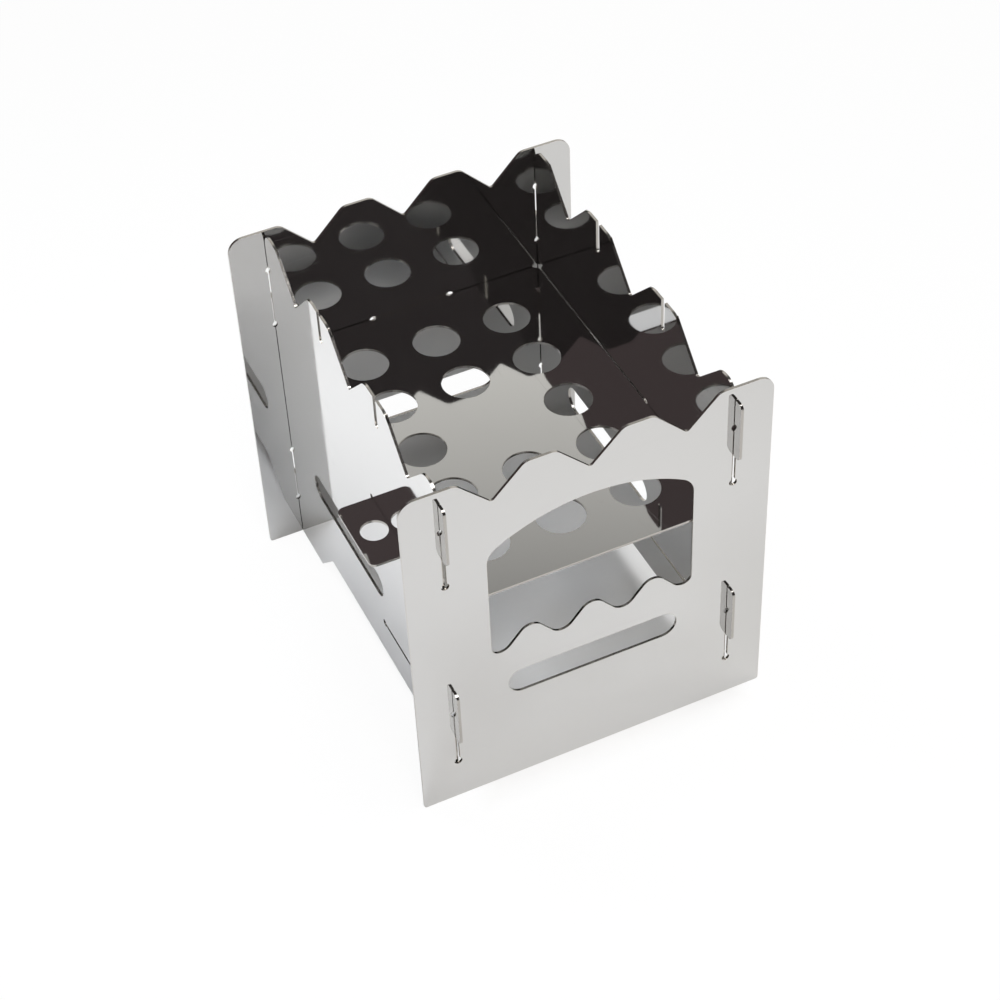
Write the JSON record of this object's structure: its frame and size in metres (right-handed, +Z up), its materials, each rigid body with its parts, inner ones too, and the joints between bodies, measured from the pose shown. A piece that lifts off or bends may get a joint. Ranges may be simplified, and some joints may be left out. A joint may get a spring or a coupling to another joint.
{
  "type": "hobo stove",
  "caption": "Flat-pack wood stove of laser-cut stainless sheet: side walls hook into slotted end panels around a perforated fire grate, under a toothed pot rim.",
  "frame": {"origin": "on the ground, under the middle of the fire box", "axes": "+Z up, front panel with the fuel window faces -Y, the grate's handle points to -X"},
  "size_m": [0.136, 0.1608, 0.15],
  "materials": {
    "front_panel_steel": "bright mirror-polished stainless sheet with fine handling scratches",
    "rear_panel_steel": "bright mirror-polished stainless sheet with fine handling scratches",
    "left_wall_steel": "bright mirror-polished stainless sheet with fine handling scratches",
    "right_wall_steel": "bright mirror-polished stainless sheet with fine handling scratches",
    "fire_grate_steel": "bright mirror-polished stainless sheet with fine handling scratches"
  },
  "bodies": {
    "stove_box": {"rear_panel": "rear_panel_steel", "left_wall": "left_wall_steel", "right_wall": "right_wall_steel", "fire_grate": "fire_grate_steel"},
    "front": {"front_panel": "front_panel_steel"}
  },
  "joints": [
    {"name": "front_panel_lift", "type": "slide", "parent": "stove_box", "child": "front", "axis": [0, 0, 1], "range_m": [0, 0.0126]}
  ]
}
